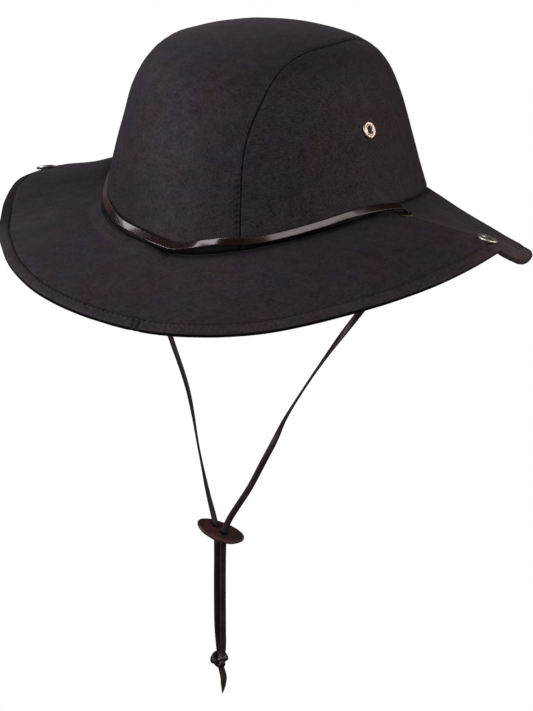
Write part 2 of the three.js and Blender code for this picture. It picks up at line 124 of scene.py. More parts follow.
# The lace round the front of the crown: its distance outside the line where crown and brim
# meet and its height above it, in millimetres, and how far its face leans back in degrees.
BAND_ROUTE = table(
    "turn out up lean",
    (-3.6, 11.2, -3.4, 60), (-4, 10.9, 0.4, 60), (-5, 9.6, 3, 55), (-7.5, 6.6, 4, 50),
    (-11, 4, 4.4, 42), (-15, 2.2, 4.7, 34), (-22, 1.1, 5, 20), (-33, 0.9, 4.8, 20),
    (-48, 0.9, 4.7, 20), (-56, 0.9, 5, 14), (-61, 0.9, 5.9, 5), (-65, 0.9, 6.7, 10),
    (-69, 0.9, 7, 26), (-74, 0.9, 6.5, 26), (-78, 1, 5.8, 36), (-85, 1.2, 4.9, 40),
    (-90, 1, 6.2, 40), (-96, 0.9, 7.5, 40), (-102, 0.9, 8.4, 38), (-108, 0.9, 8.7, 38),
    (-113, 0.6, 8.7, 38), (-119, 0, 8.9, 34), (-134, -0.6, 8.8, 36), (-150, -0.4, 9, 48),
    (-162, 1.4, 10.4, 50), (-169, 3.6, 9.6, 24), (-172.5, 6, 8.8, 20), (-175, 9.2, 7.4, 20),
    (-176, 10.9, 5.4, 0), (-176.4, 11.2, 1.2, 0),
)

# The hanging laces, in one upright plane, in millimetres. The twist is how far the flat of
# the lace is turned about its length, in degrees, from lying in that plane.
HANGING_PLANE = -8 * MM
RIGHT_STRAND = table(
    "x z twist",
    (-92.8, -4.2, 90), (-90, -19, 80), (-75.5, -57, 40), (-60.4, -93.5, -5), (-48.8, -122.6, -20),
    (-41.4, -157, -50), (-35.6, -181, -20), (-30.8, -198, 5), (-29.6, -206, 15),
    (-29.4, -214, 30), (-29.6, -238, 33), (-29.3, -262, 33), (-28.4, -272, 30), (-27.6, -279, 20),
)
LEFT_STRAND = table(
    "x z twist",
    (92.8, -4.2, 90), (90.5, -19, 80), (80, -40, 50), (65.1, -58.8, 20), (45.6, -84.5, -45),
    (28.2, -109.7, -66), (16.2, -129, -45), (9.8, -141.9, -5), (1.6, -157, 18),
    (-6.9, -172.7, 12), (-21.4, -195.5, 20), (-24.6, -203.5, 24), (-25.3, -214, 26),
    (-25.6, -238, 28), (-25.6, -262, 30), (-25.6, -272, 30), (-26.2, -279, 20),
)


def place_object(name, data):
    """A new object in the scene."""
    placed = bpy.data.objects.new(name, data)
    bpy.context.scene.collection.objects.link(placed)
    return placed


def direction_of(azimuth, elevation):
    """A direction, turned from the front to the wearer's left and raised from the level."""
    level = math.cos(elevation)
    return Vector((math.sin(azimuth) * level, -math.cos(azimuth) * level, math.sin(elevation)))


def place_camera():
    right = Vector((math.cos(CAMERA_AZIMUTH), math.sin(CAMERA_AZIMUTH), 0))
    back = direction_of(CAMERA_AZIMUTH, CAMERA_ELEVATION)
    up = back.cross(right)
    data = bpy.data.cameras.new("camera")
    data.sensor_width = SENSOR_MM
    data.lens = SENSOR_MM * FOCAL_LENGTH_PX / PHOTO_HEIGHT_PX
    data.clip_end = 20
    camera = place_object("camera", data)
    place = CAMERA_AIM_RIGHT * right + CAMERA_AIM_UP * up + CAMERA_DISTANCE * back
    axes = Matrix((right, up, back)).transposed().to_4x4()
    camera.matrix_world = Matrix.Translation(place) @ axes
    bpy.context.scene.camera = camera


place_camera()


# Numbers and curves

def mix(a, b, share):
    return a + (b - a) * share


def unit(vectors):
    length = np.linalg.norm(vectors, axis=-1, keepdims=True)
    return vectors / np.maximum(length, 1e-12)


def bump_at(distance, centre, width):
    """A smooth bump of height 1 at a distance."""
    return np.exp(-(((distance - centre) / width) ** 2))


def ramp(value, start, end):
    """0 before the start, 1 past the end, and a straight rise between them."""
    return np.clip((value - start) / (end - start), 0, 1)


def ease(share):
    """A share from 0 to 1, made gentle at both ends."""
    return share * share * (3 - 2 * share)


def even_angles(count):
    return np.linspace(0, 2 * math.pi, count, endpoint=False)


def distances(points, axis=0, from_end=False):
    """How far each point is along a line, or from the first or last row or column of a grid."""
    if from_end:
        return np.flip(distances(np.flip(points, axis), axis), axis)
    steps = np.linalg.norm(np.diff(points, axis=axis), axis=-1)
    return np.insert(np.cumsum(steps, axis), 0, 0, axis)


def hermite(values, slopes, row, span, s):
    """A smooth curve from each row to the next, at a share s of the span between them."""
    return (
        values[row] * (1 + 2 * s) * (1 - s) ** 2
        + slopes[row] * span * s * (1 - s) ** 2
        + values[row + 1] * s * s * (3 - 2 * s)
        + slopes[row + 1] * span * s * s * (s - 1)
    )


def soft_noise(points, wavelength, seed, waves=14):
    """Smooth even noise of about -1 to 1, from a few crossing waves."""
    random = np.random.default_rng(seed)
    directions = unit(random.normal(size=(waves, 3)))
    lengths = 2 * math.pi / (wavelength * random.uniform(0.7, 1.5, waves))
    phases = random.uniform(0, 2 * math.pi, waves)
    total = np.zeros(points.shape[:-1])
    for direction, length, phase in zip(directions, lengths, phases):
        total += np.sin(points @ (direction * length) + phase)
    return total / math.sqrt(waves / 2) / 1.6


def read_column(rows, name, wanted, key="turn"):
    """Reads a column of a table as a smooth curve whose slopes never overshoot."""
    forward = 1 if rows[key][1] > rows[key][0] else -1
    places = rows[key] * forward
    values = rows[name]
    slopes = np.diff(values) / np.diff(places)
    before, after = slopes[:-1], slopes[1:]
    total = np.where(before + after == 0, 1, before + after)
    inner = np.where(before * after <= 0, 0, 2 * before * after / total)
    tangents = np.concatenate([slopes[:1], inner, slopes[-1:]])
    wanted = np.clip(np.asarray(wanted, float) * forward, places[0], places[-1])
    row = np.clip(np.searchsorted(places, wanted) - 1, 0, len(places) - 2)
    span = places[row + 1] - places[row]
    return hermite(values, tangents, row, span, (wanted - places[row]) / span)


def smooth_route(points, count):
    """A smooth curve through the points, as count points an even distance apart."""
    points = np.asarray(points, float)
    steps = np.sqrt(np.linalg.norm(np.diff(points[:, :3], axis=0), axis=1))
    knots = np.concatenate([[0], np.cumsum(steps)])
    slopes = np.gradient(points, knots, axis=0)
    dense = np.linspace(0, knots[-1], 40 * len(points))
    row = np.clip(np.searchsorted(knots, dense) - 1, 0, len(knots) - 2)
    span = (knots[row + 1] - knots[row])[:, None]
    curve = hermite(points, slopes, row, span, (dense - knots[row])[:, None] / span)
    along = distances(curve[:, :3])
    even = np.linspace(0, along[-1], count)
    return np.stack([np.interp(even, along, column) for column in curve.T], axis=-1)


def graded(length, fine, fine_step, coarse_step):
    """Shares from 0 to 1 along a length, in fine steps near both ends."""
    fine_count = round(fine / fine_step)
    middle_count = max(2, round((length - 2 * fine) / coarse_step))
    start = np.linspace(0, fine, fine_count, endpoint=False)
    middle = np.linspace(fine, length - fine, middle_count, endpoint=False)
    end = np.linspace(length - fine, length, fine_count + 1)
    return np.concatenate([start, middle, end]) / length


# Meshes

def add_object(name, vertices, faces, material, uv=None):
    """A mesh piece that rides on the hat. uv holds one pair for each vertex, in metres."""
    mesh = bpy.data.meshes.new(name)
    mesh.from_pydata(np.asarray(vertices).reshape(-1, 3).tolist(), [], faces)
    mesh.materials.append(material)
    if uv is not None:
        layer = mesh.uv_layers.new(name="cloth")
        corners = np.zeros(len(mesh.loops), np.int32)
        mesh.loops.foreach_get("vertex_index", corners)
        layer.data.foreach_set("uv", np.asarray(uv, np.float32).reshape(-1, 2)[corners].ravel())
    mesh.polygons.foreach_set("use_smooth", np.ones(len(mesh.polygons), bool))
    mesh.validate()
    mesh.update()
    piece = place_object(name, mesh)
    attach(piece, "root")
    return piece


def set_marks(piece, **marks):
    """Stores painted light, shade and worn places at a piece's first vertices, from 0 to 1."""
    for name, amounts in marks.items():
        layer = piece.data.attributes.new(name, "FLOAT", "POINT")
        values = np.zeros(len(piece.data.vertices), np.float32)
        values[: amounts.size] = np.clip(amounts, 0, 1).ravel()
        layer.data.foreach_set("value", values)


def grid_faces(rows, columns, start=0, flip=False, closed=False):
    """Quads over a grid of points, whose columns may close on themselves."""
    across = columns if closed else columns - 1
    row, column = np.meshgrid(np.arange(rows - 1), np.arange(across), indexing="ij")
    beside = (column + 1) % columns
    corners = [(row, column), (row, beside), (row + 1, beside), (row + 1, column)]
    quads = np.stack([start + r * columns + c for r, c in corners], axis=-1).reshape(-1, 4)
    return (quads[:, ::-1] if flip else quads).tolist()


def add_cloth(name, outer, inner, uv, marks, replaced):
    """A closed wall of cloth between an outer and an inner grid of points."""
    rows, columns = outer.shape[:2]
    size = rows * columns
    index = np.arange(size).reshape(rows, columns)
    rim = np.concatenate([index[0, :-1], index[:-1, -1], index[-1, :0:-1], index[:0:-1, 0]])
    ahead = np.roll(rim, -1)
    faces = grid_faces(rows, columns) + grid_faces(rows, columns, size, flip=True)
    faces += np.stack([ahead, rim, rim + size, ahead + size], axis=-1).tolist()
    points = np.stack([outer, inner])
    piece = add_object(name, points, faces, CLOTH_FINISH, np.stack([uv, uv]))
    set_marks(piece, **marks)
    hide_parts(replaced)


def tube_faces(rows, columns):
    """The faces of a tube through closed sections, with flat ends."""
    last = (rows - 1) * columns
    ends = [list(range(columns))[::-1], [last + c for c in range(columns)]]
    return grid_faces(rows, columns, closed=True) + ends


def tube(name, sections, material, around):
    """A solid through closed sections. around is the width that it unrolls to."""
    rows, columns = sections.shape[:2]
    along = distances(sections.mean(axis=1))
    uv = np.stack(np.meshgrid(along, np.linspace(0, around, columns), indexing="ij"), axis=-1)
    return add_object(name, sections, tube_faces(rows, columns), material, uv)


def grid_normals(points):
    return unit(np.cross(np.gradient(points, axis=1), np.gradient(points, axis=0)))


def lathe(name, profile, place, material, sides=64):
    """A round piece from a closed outline of (radius, height) points, in millimetres."""
    outline = np.array(profile, float) * MM
    turns = even_angles(sides)
    ring = np.stack([
        outline[None, :, 0] * np.cos(turns)[:, None],
        outline[None, :, 0] * np.sin(turns)[:, None],
        np.broadcast_to(outline[None, :, 1], (sides, len(outline))),
    ], axis=-1)
    matrix = np.array(place)
    points = ring @ matrix[:3, :3].T + matrix[:3, 3]
    faces = np.array(grid_faces(sides + 1, len(outline), closed=True)) % (sides * len(outline))
    return add_object(name, points, faces.tolist(), material)


def frame_on(point, normal):
    """A frame at a point whose Z is the normal."""
    z = Vector(normal).normalized()
    x = Vector((0, 1, 0)).cross(z).normalized()
    y = z.cross(x)
    matrix = Matrix((x, y, z)).transposed().to_4x4()
    matrix.translation = Vector(point)
    return matrix


# Materials

def add_node(tree, kind, inputs=(), **settings):
    """A shader node whose inputs are values or other nodes' outputs."""
    node = tree.nodes.new("ShaderNode" + kind)
    for name, value in settings.items():
        setattr(node, name, value)
    for name, value in dict(inputs).items():
        if isinstance(value, bpy.types.NodeSocket):
            tree.links.new(value, node.inputs[name])
        else:
            node.inputs[name].default_value = value
    return node


def calculate(tree, operation, a, b):
    return add_node(tree, "Math", {0: a, 1: b}, operation=operation).outputs[0]


def blend_colors(tree, share, a, b):
    inputs = {0: share, 6: a, 7: b}
    return add_node(tree, "Mix", inputs, data_type="RGBA").outputs[2]


def noise_texture(tree, wavelength, detail, stretch=(1, 1, 1), place=None):
    """Even noise of 0 to 1 with a wavelength in metres."""
    place = place or add_node(tree, "TexCoord").outputs["Object"]
    scale = tuple(s / wavelength for s in stretch)
    moved = add_node(tree, "Mapping", {"Vector": place, "Scale": scale}).outputs[0]
    inputs = {"Vector": moved, "Scale": 1, "Detail": detail, "Roughness": 0.55}
    return add_node(tree, "TexNoise", inputs).outputs["Fac"]


def rescale(tree, value, low, high, new_low=0, new_high=1):
    """A value moved from one range to another, and held inside it."""
    ends = {"From Min": low, "From Max": high, "To Min": new_low, "To Max": new_high}
    return add_node(tree, "MapRange", {"Value": value, **ends}).outputs[0]


def bump(tree, height, strength, distance):
    inputs = {"Height": height, "Strength": strength, "Distance": distance}
    return add_node(tree, "Bump", inputs).outputs[0]


def mark(tree, name):
    """A mark that set_marks stores on a piece."""
    return add_node(tree, "Attribute", attribute_name=name).outputs["Fac"]


def start_material(name, **values):
    material = bpy.data.materials.new(name)
    material.use_nodes = True
    surface = material.node_tree.nodes["Principled BSDF"]
    for key, value in values.items():
        surface.inputs[key.replace("_", " ")].default_value = value
    return material, material.node_tree


def connect(material, **outputs):
    """Links nodes' outputs to the inputs of a material's surface. Returns the material."""
    tree = material.node_tree
    for key, output in outputs.items():
        inputs = tree.nodes["Principled BSDF"].inputs
        tree.links.new(output, inputs[key.replace("_", " ")])
    return material


def color(red, green, blue):
    return (red, green, blue, 1)


# Pale brown for painted highlights and sheen on the cotton, and for its worn ear tip
COTTON_WEAR_AND_SHEEN = color(0.15, 0.105, 0.1)
# Lighter brown painted on the lace for reflected light
REFLECTED_LIGHT_LEATHER = color(0.085, 0.036, 0.03)
LEATHER_SHINE = color(1, 0.8, 0.9)
MOTTLE_RANGE = (1.45, 2.45)


def cloth_material(name, grey, purple, brown):
    """Waxed woven cotton: cloudy dye, slubs along both threads and a fine plain weave."""
    material, tree = start_material(
        name, Sheen_Weight=0.1, Sheen_Roughness=0.45, Sheen_Tint=color(0.8, 0.72, 0.85)
    )
    clouds = rescale(tree, noise_texture(tree, 42 * MM, 3), 0.4, 0.6)
    patches = rescale(tree, noise_texture(tree, 19 * MM, 2, (1, 1, 1.3)), 0.52, 0.68)
    dye = blend_colors(tree, patches, blend_colors(tree, clouds, grey, purple), brown)
    weave = add_node(tree, "UVMap", uv_map="cloth").outputs["UV"]
    warp = noise_texture(tree, 1 * MM, 2, (1, 0.75, 1), weave)
    weft = noise_texture(tree, 1 * MM, 2, (0.75, 1, 1), weave)
    threads = calculate(tree, "ADD", warp, weft)
    fine = calculate(tree, "ADD", threads, noise_texture(tree, 1.6 * MM, 4))
    stains = calculate(tree, "MULTIPLY", noise_texture(tree, 6 * MM, 5), 0.9)
    mottle = calculate(tree, "ADD", fine, stains)
    # Painted shade: the shade mark darkens the dye and lowers the specular.
    unshaded = calculate(tree, "SUBTRACT", 1.0, mark(tree, "shade"))
    strength = rescale(tree, mottle, *MOTTLE_RANGE, 0.3, 1.7)
    strength = calculate(tree, "MULTIPLY", strength, unshaded)
    scaled = add_node(tree, "VectorMath", {0: dye, "Scale": strength}, operation="SCALE")
    # The pale brown blend paints highlights and sheen, and the worn ear tip.
    return connect(
        material,
        Base_Color=blend_colors(tree, mark(tree, "wear"), scaled.outputs[0], COTTON_WEAR_AND_SHEEN),
        Specular_IOR_Level=calculate(tree, "MULTIPLY", unshaded, 0.2),
        Roughness=rescale(tree, mottle, *MOTTLE_RANGE, 0.72, 0.54),
        Normal=bump(tree, fine, 0.35, 0.3 * MM),
    )


def leather_material(name, dark, light, roughness, polish, relief=0.06):
    """Oiled leather with fine grain and a polish, and a lighter brown for painted reflected light.
    """
    material, tree = start_material(
        name, Coat_Weight=polish, Coat_Roughness=0.15, Coat_IOR=1.6, Specular_Tint=LEATHER_SHINE
    )
    patches = rescale(tree, noise_texture(tree, 6 * MM, 6), 0.35, 0.65)
    dye = blend_colors(tree, patches, dark, light)
    grain = noise_texture(tree, 0.7 * MM, 3)
    return connect(
        material,
        Base_Color=blend_colors(tree, mark(tree, "wear"), dye, REFLECTED_LIGHT_LEATHER),
        Roughness=rescale(tree, grain, 0, 1, roughness - 0.08, roughness + 0.12),
        Normal=bump(tree, grain, relief, 0.2 * MM),
    )


def metal_material(name, clean, tarnished, roughness):
    """Plated metal with cloudy tarnish and fine scratches."""
    material, tree = start_material(name, Metallic=1.0, Roughness=roughness)
    patches = rescale(tree, noise_texture(tree, 2.2 * MM, 3), 0.4, 0.7)
    return connect(
        material,
        Base_Color=blend_colors(tree, patches, clean, tarnished),
        Normal=bump(tree, noise_texture(tree, 0.6 * MM, 2), 0.08, 0.1 * MM),
    )


CLOTH_FINISH = cloth_material(
    "waxed cotton",
    grey=color(0.0285, 0.0245, 0.0242),
    purple=color(0.0295, 0.0222, 0.0335),
    brown=color(0.0345, 0.0222, 0.0232),
)
# The hem's cloth: the waxed cotton painted about a fifth lighter, painted light on the rolled hem
HEM_FINISH = cloth_material(
    "hem cotton",
    grey=color(0.034, 0.0297, 0.0288),
    purple=color(0.034, 0.0263, 0.0355),
    brown=color(0.039, 0.0258, 0.0266),
)
LACE_FINISH = leather_material(
    "lace leather", color(0.011, 0.0036, 0.003), color(0.02, 0.007, 0.0058), 0.26, 0.7, 0.14
)
CORD_FINISH = leather_material(
    "cord leather", color(0.016, 0.0115, 0.015), color(0.032, 0.023, 0.03), 0.4, 0.2
)
# A darker copy of the cord leather for one strand of the same lace: painted shade
SHADED_CORD_FINISH = leather_material(
    "shaded cord leather", color(0.006, 0.0045, 0.0045), color(0.014, 0.01, 0.011), 0.45, 0.1
)
TOGGLE_FINISH = leather_material(
    "toggle leather", color(0.026, 0.013, 0.012), color(0.085, 0.037, 0.032), 0.5, 0.05, 0.6
)
TAIL_FINISH = leather_material(
    "tail leather", color(0.02, 0.016, 0.009), color(0.042, 0.033, 0.018), 0.5, 0.1
)
NICKEL_FINISH = metal_material("nickel", color(0.9, 0.86, 0.82), color(0.65, 0.57, 0.52), 0.4)
EYELET_FINISH = metal_material("eyelet", color(0.78, 0.73, 0.67), color(0.66, 0.56, 0.42), 0.36)
BRASS_FINISH = metal_material("brass", color(0.16, 0.115, 0.06), color(0.05, 0.036, 0.025), 0.5)
THREAD_FINISH, _ = start_material("thread", Base_Color=color(0.035, 0.03, 0.033), Roughness=0.6)


# Cords

def strip_sections(route, across, facing, width, thickness, corners=16, squareness=3.2):
    """Sections of a flat strip with rounded edges, one for each point of its route."""
    angles = even_angles(corners)
    wide = np.sign(np.cos(angles)) * np.abs(np.cos(angles)) ** (2 / squareness)
    thick = np.sign(np.sin(angles)) * np.abs(np.sin(angles)) ** (2 / squareness)
    width = np.broadcast_to(width, len(route))[:, None, None]
    thickness = np.broadcast_to(thickness, len(route))[:, None, None]
    return (
        route[:, None]
        + across[:, None] * wide[None, :, None] * width / 2
        + facing[:, None] * thick[None, :, None] * thickness / 2
    )


def hanging_axes(route):
    """The direction along a route in the hanging plane, and the one beside it in that plane."""
    tangent = unit(np.gradient(route, axis=0))
    beside = np.stack([-tangent[:, 2], np.zeros(len(route)), tangent[:, 0]], axis=-1)
    return tangent, beside


def add_strip(name, rows, finish, count=260, thickness=LACE_THICKNESS):
    """A strip that twists on its way down. Returns the piece and its route."""
    level = np.full_like(rows["x"], HANGING_PLANE / MM)
    width = rows.get("width", np.full_like(rows["x"], LACE_WIDTH / MM))
    columns = [rows["x"], level, rows["z"], rows["twist"], width]
    curve = smooth_route(np.stack(columns, axis=-1), count)
    route = curve[:, :3] * MM
    twist = np.radians(curve[:, 3])[:, None]
    tangent, beside = hanging_axes(route)
    across = beside * np.cos(twist) + np.array([0, 1, 0]) * np.sin(twist)
    facing = np.cross(tangent, across)
    sections = strip_sections(route, across, facing, curve[:, 4] * MM, thickness)
    return tube(name, sections, finish, 2 * LACE_WIDTH), route


def route_length(route):
    return float(distances(route)[-1])


left_strand, left_route = add_strip("chin_strand_left", LEFT_STRAND, CORD_FINISH)
# The right strand gets the darker copy of the leather: painted shade.
right_strand, right_route = add_strip("chin_strand_right", RIGHT_STRAND, SHADED_CORD_FINISH)
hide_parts("chin_lace_left")
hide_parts("chin_lace_right")

# What the cord carries: an oval leather toggle, a knot and the loose tail
TOGGLE_SIZES = np.array([28.2, 15.5, 3]) * MM
TOGGLE_TURNS = {"X": 23, "Y": 21, "Z": 33}
TOGGLE_CENTRE = (-27.1 * MM, HANGING_PLANE, -203 * MM)
TOGGLE_CURL = 1.2 * MM
TOGGLE_SETTLE = 0.4 * MM
TOGGLE_UNEVENNESS = 0.15 * MM
TOGGLE_EDGE = np.array([
    (0.4, 1), (0.7, 0.98), (0.86, 0.9), (0.94, 0.72), (0.985, 0.4), (1, 0),
    (0.985, -0.4), (0.94, -0.72), (0.86, -0.9), (0.7, -0.98), (0.4, -1),
])
HOLE_RADIUS = 2.2 * MM
HOLE_REACH = 14 * MM


def add_toggle():
    """A flat oval with rounded edges, a little curled. Both strands pass through it."""
    turns = even_angles(96)
    rows, columns = len(turns), len(TOGGLE_EDGE)
    size = rows * columns
    reach, height = TOGGLE_EDGE.T / 2
    ring = np.stack([
        np.outer(np.cos(turns), reach),
        np.outer(np.sin(turns), reach),
        np.broadcast_to(height, (rows, columns)),
    ], axis=-1) * TOGGLE_SIZES
    ring[..., 2] += TOGGLE_CURL * (ring[..., 0] / TOGGLE_SIZES[0] * 2) ** 2 - TOGGLE_SETTLE
    ring[..., 2] += TOGGLE_UNEVENNESS * soft_noise(ring, 8 * MM, 5)
    faces = (np.array(grid_faces(rows + 1, columns)) % size).tolist()
    for top in range(0, size, columns):
        ahead = (top + columns) % size
        faces.append([size, top, ahead])
        faces.append([size + 1, ahead + columns - 1, top + columns - 1])
    turn = Matrix.Identity(3)
    for axis, degrees in TOGGLE_TURNS.items():
        turn = Matrix.Rotation(math.radians(degrees), 3, axis) @ turn
    points = np.concatenate([ring.reshape(-1, 3), ring.mean(axis=0)[[0, -1]]])
    placed = points @ np.array(turn).T + np.array(TOGGLE_CENTRE)
    return add_object("chin_toggle_disc", placed, faces, TOGGLE_FINISH)


def cut_holes(piece, routes):
    """Cuts a round hole through the toggle along each route."""
    for route in routes:
        near = route[np.linalg.norm(route - np.array(TOGGLE_CENTRE), axis=1) < HOLE_REACH]
        tangent, beside = hanging_axes(near)
        facing = np.cross(tangent, beside)
        sections = strip_sections(near, beside, facing, 2 * HOLE_RADIUS, 2 * HOLE_RADIUS, 20, 2)
        mesh = bpy.data.meshes.new("cutter")
        mesh.from_pydata(sections.reshape(-1, 3).tolist(), [], tube_faces(*sections.shape[:2]))
        tool = place_object("cutter", mesh)
        modifier = piece.modifiers.new("hole", "BOOLEAN")
        modifier.operation = "DIFFERENCE"
        modifier.object = tool
        bpy.context.view_layer.update()
        evaluated = piece.evaluated_get(bpy.context.evaluated_depsgraph_get())
        piece.data = bpy.data.meshes.new_from_object(evaluated)
        piece.modifiers.clear()
        bpy.data.objects.remove(tool)


toggle = add_toggle()
cut_holes(toggle, (left_route, right_route))
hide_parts("chin_toggle")

# The overhand knot follows a three-lobed loop, and the tail leaves it below.
KNOT_CENTRE = np.array([-28.2 * MM, HANGING_PLANE, -281 * MM])
KNOT_TURN = np.array([math.cos(CAMERA_AZIMUTH), math.sin(CAMERA_AZIMUTH)])
KNOT_HALF_SIZES = np.array([4, 3.4, 2.6]) * MM
KNOT_STRIP = (4.4 * MM, 2.4 * MM)
TAIL_THICKNESS = 1.1 * MM
TAIL_ROUTE = table(
    "x z width twist",
    (-27.6, -284, 3.4, 30), (-26.8, -286.2, 3.6, 32), (-25.4, -291, 3.8, 34),
    (-25.4, -295, 3.2, 32), (-25.7, -298.5, 2, 30), (-26.1, -301.4, 0.5, 30),
)


def add_knot():
    turns = np.linspace(0, 2 * math.pi, 160)
    right = (np.sin(turns) + 2 * np.sin(2 * turns)) / 3
    up = (np.cos(turns) - 2 * np.cos(2 * turns)) / 3
    loop = np.stack([right, up, -np.sin(3 * turns)], axis=-1) * KNOT_HALF_SIZES
    cosine, sine = KNOT_TURN
    route = KNOT_CENTRE + loop @ np.array([(cosine, sine, 0), (0, 0, 1), (sine, -cosine, 0)])
    tangent = unit(np.gradient(route, axis=0))
    outward = unit(route - KNOT_CENTRE)
    across = unit(np.cross(tangent, outward))
    facing = np.cross(tangent, across)
    sections = strip_sections(route, across, facing, *KNOT_STRIP)
    return tube("cord_knot", sections, CORD_FINISH, 2 * LACE_WIDTH)


knot = add_knot()
tail = add_strip("cord_tail", TAIL_ROUTE, TAIL_FINISH, 60, TAIL_THICKNESS)[0]
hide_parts("lace_knot")
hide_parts("lace_tail")

for strand, route, carried in (
    (left_strand, left_route, [toggle, knot, tail]),
    (right_strand, right_route, []),
):
    route_length(route)


# Crown

def crown_points(across, along):
    """The crown is a dome over a disc of radius 1, as wide and long as the disc."""
    share = np.minimum(1, np.hypot(across, along))
    turn = np.arctan2(along, across)
    radius = mix(share, share * (2 - share), DISC_EASE)
    rise = 1 - TOP_DISHING * radius**2 - (1 - TOP_DISHING) * radius**SHOULDER_SHARPNESS
    plan = radius * (1 - BASE_FLARE) + BASE_FLARE * (1 - rise) ** 4
    x = HEAD_HALF_WIDTH * plan * np.cos(turn)
    y = HEAD_HALF_LENGTH * plan * np.sin(turn) - CROWN_LEAN * rise
    base = -BASE_SAG * np.sin(turn) ** 2 * (1 - rise)
    squaring = TOP_SQUARING * (x / HEAD_HALF_WIDTH) ** 2 * rise**2
    return np.stack([x, y, base + CROWN_HEIGHT * rise + squaring], axis=-1)


def crown_normal(across, along):
    step = 1e-4
    point = crown_points(np.array(across), np.array(along))
    sideways = crown_points(np.array(across + step), np.array(along)) - point
    backward = crown_points(np.array(across), np.array(along + step)) - point
    return point, unit(np.cross(sideways, backward))


def panel_along(station, across):
    return station * np.sqrt(np.maximum(0, 1 - across**2))


def seam_across(side, station):
    """The disc's across coordinate of the seam on one side at stations from front to back."""
    distance = read_column(SEAM_LINES, side, station, "station") * MM
    low = np.zeros_like(station)
    high = np.full_like(station, 0.98)
    for _ in range(40):
        middle = (low + high) / 2
        inside = crown_points(middle, panel_along(station, middle))[..., 0] < distance
        low = np.where(inside, middle, low)
        high = np.where(inside, high, middle)
    return (low + high) / 2


def even_stations(across_at, shares):
    """Stations from front to back whose places along the panel are the given shares."""
    dense = np.linspace(-1, 1, 4000)
    across = across_at(dense)
    along = distances(crown_points(across, panel_along(dense, across)))
    return np.interp(shares * along[-1], along, dense)


EDGE_ROLL = 0.9 * MM
BASE_TUCK = 1.1 * MM
ALLOWANCE = 4.3 * MM
ALLOWANCE_BULGE = 0.22 * MM
STITCH_ROWS = (1.1 * MM, 3.1 * MM)
STITCH_PITCH = 3.1 * MM
STITCH_MARGIN = 6 * MM
PUCKER_PITCH = 7 * MM
RIGHT_BULGE = 1.7 * MM
BULGE_TURN = -147
VENT_DIMPLE = 8 * MM
# How dark the painted shadow at the foot is: in the lace's shade, and where the foot is lit
FOOT_SHADES = (0.95, 0.2)


def crown_relief(points, to_seam, to_base, along, seed):
    """How far the cloth stands off the smooth crown. It bulges in front of the right side."""
    seam_roll = EDGE_ROLL * bump_at(to_seam, 0, 0.6 * MM)
    base_roll = BASE_TUCK * bump_at(to_base, 0, 1.6 * MM)
    phase = 2 * math.pi * along / PUCKER_PITCH + 2 * soft_noise(points, 30 * MM, seed)
    pucker = 0.08 * MM * np.sin(phase) * np.exp(-to_seam / (5 * MM))
    long_waves = 0.45 * MM * soft_noise(points, 60 * MM, seed + 1)
    short_waves = 0.1 * MM * soft_noise(points, 19 * MM, seed + 2)
    bulge = bump_at(turns_round(points), BULGE_TURN, 26) * bump_at(to_base, 24 * MM, 18 * MM)
    waves = long_waves + short_waves + pucker + RIGHT_BULGE * bulge
    return waves - np.maximum(seam_roll, base_roll)


def under_lace(turns):
    """Where the lace lies on the foot of the crown, from 0 to 1."""
    return ramp(turns, -20, -40) * ramp(turns, -150, -120)


def crown_shade(to_seam, to_base, turns):
    """A seam's dark line, the lace's painted shadow at the foot, and painted shade low in front."""
    seam = 0.6 * bump_at(to_seam, 0, 0.5 * MM)
    lit = ramp(turns, -92, -102) * ramp(turns, -150, -130)
    # Painted shadow under the lace, fainter where the foot is lit.
    foot = mix(*FOOT_SHADES, lit) * bump_at(to_base, 0, mix(1.2 * MM, 5 * MM, under_lace(turns)))
    # Painted shade: the front of the crown darker towards its foot.
    low_front_shade = 0.22 * bump_at(to_base, 12 * MM, 26 * MM) * ramp(turns, -70, -100)
    return np.max([seam, foot, low_front_shade], axis=0)


def turns_round(points):
    """The turn of each point from the wearer's left, in degrees, less than 0 in front."""
    y, x = points[..., 1] / HEAD_HALF_LENGTH, points[..., 0] / HEAD_HALF_WIDTH
    return np.degrees(np.arctan2(y, x))


def finish_panel(name, points, relief, uv, shade, replaced):
    """Gives a crown panel its relief and thickness. Returns its outer face and normals."""
    normals = grid_normals(points)
    normals[[0, -1], :, 2] = 0
    normals = unit(normals)
    outer = points + normals * relief[..., None]
    add_cloth(name, outer, points - normals * CLOTH, uv, {"shade": shade}, replaced)
    return outer, normals


def add_centre_panel():
    """The strip over the top. Returns what its stitches need."""
    shares = graded(0.44, 5 * MM, 0.45 * MM, 1.9 * MM)
    stations = even_stations(np.zeros_like, shares)
    left, right = (seam_across(side, stations)[:, None] for side in ("left", "right"))
    columns = graded(0.085, 7 * MM, 0.4 * MM, 1.6 * MM)[None, :]
    across = mix(-right, left, columns)
    points = crown_points(across, panel_along(stations[:, None], across))
    from_left = distances(points, 1)
    from_right = distances(points, 1, from_end=True)
    to_seam = np.minimum(from_left, from_right)
    along = distances(points, 0)
    to_base = np.minimum(along, distances(points, 0, from_end=True))
    relief = crown_relief(points, to_seam, to_base, along, 11)
    folded = ease(ramp(to_seam, ALLOWANCE + 0.75 * MM, ALLOWANCE - 0.75 * MM))
    relief += ALLOWANCE_BULGE * folded
    for distance in STITCH_ROWS:
        relief -= 0.18 * MM * bump_at(to_seam, distance, 0.4 * MM)
    # Painted shade: dark dashes between the two stitch rows, low on the crown.
    rungs = 0.5 + 0.5 * np.cos(2 * math.pi * along / STITCH_PITCH)
    low = ramp(to_base, 50 * MM, 30 * MM)
    ladder = 0.7 * low * rungs * bump_at(to_seam, np.mean(STITCH_ROWS), 1.3 * MM)
    shade = np.maximum(crown_shade(to_seam, to_base, turns_round(points)), ladder)
    uv = np.stack([from_left - from_right, along], axis=-1)
    faces = finish_panel("crown_top", points, relief, uv, shade, "crown_centre_panel")
    return *faces, to_seam


